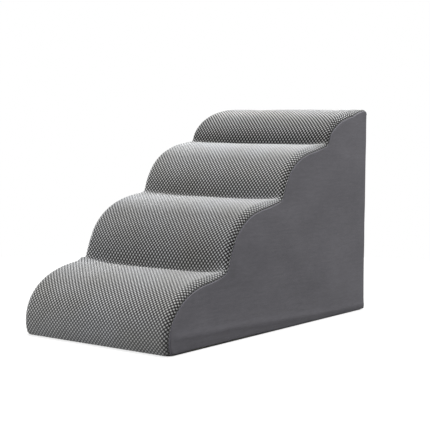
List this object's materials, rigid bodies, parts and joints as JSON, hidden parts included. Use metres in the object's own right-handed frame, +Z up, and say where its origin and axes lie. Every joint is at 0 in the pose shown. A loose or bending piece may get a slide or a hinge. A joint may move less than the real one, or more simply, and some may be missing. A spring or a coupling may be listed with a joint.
{
  "type": "pet stairs",
  "caption": "Foam stairs with rounded steps for a dog or cat, in a textured and smooth grey cover with a zip in the back.",
  "frame": {"origin": "on the floor, under the middle of the box that the whole object fills", "axes": "+X across the width towards the side that the picture shows, +Y the way the animal climbs, +Z up"},
  "size_m": [0.4, 0.7726, 0.4899],
  "materials": {
    "tread_fabric": "raised light nubs on a dark ground, matt",
    "side_fabric": "short brushed nap, like suede",
    "base_fabric": "plain weave with small grip dots",
    "firm_foam": "open-cell firm foam",
    "soft_foam": "open-cell soft foam",
    "zip_tape": "woven tape",
    "zip_teeth": "moulded",
    "zip_stop": "plain",
    "zip_slider": "satin dark grey"
  },
  "bodies": {
    "stairs": {"tread_cover": "tread_fabric", "right_side_panel": "side_fabric", "left_side_panel": "side_fabric", "base_panel": "base_fabric", "back_panel": "side_fabric", "back_border": "side_fabric", "foam_slab_bottom": "firm_foam", "foam_slab_second": "firm_foam", "foam_slab_third": "firm_foam", "foam_slab_top": "firm_foam", "comfort_layer": "soft_foam", "zipper_tape_outer": "zip_tape", "zipper_tape_inner": "zip_tape", "zipper_teeth_outer": "zip_teeth", "zipper_teeth_inner": "zip_teeth", "zipper_top_stops": "zip_stop", "zipper_bottom_stop": "zip_stop", "zipper_end_tabs": "side_fabric"},
    "slider": {"zipper_slider": "zip_slider"},
    "pull": {"zipper_pull": "zip_slider"}
  },
  "joints": [
    {"name": "zip_slide", "type": "slide", "parent": "stairs", "child": "slider", "axis": [0, 0, -1], "range_m": [0, 0.383], "deforming": ["zipper_teeth_outer", "zipper_teeth_inner"]},
    {"name": "pull_hinge", "type": "hinge", "parent": "slider", "child": "pull", "pos_m": [-0.176, 0.38392, 0.4472], "axis": [1, 0, 0], "range_deg": [0, 165]}
  ]
}
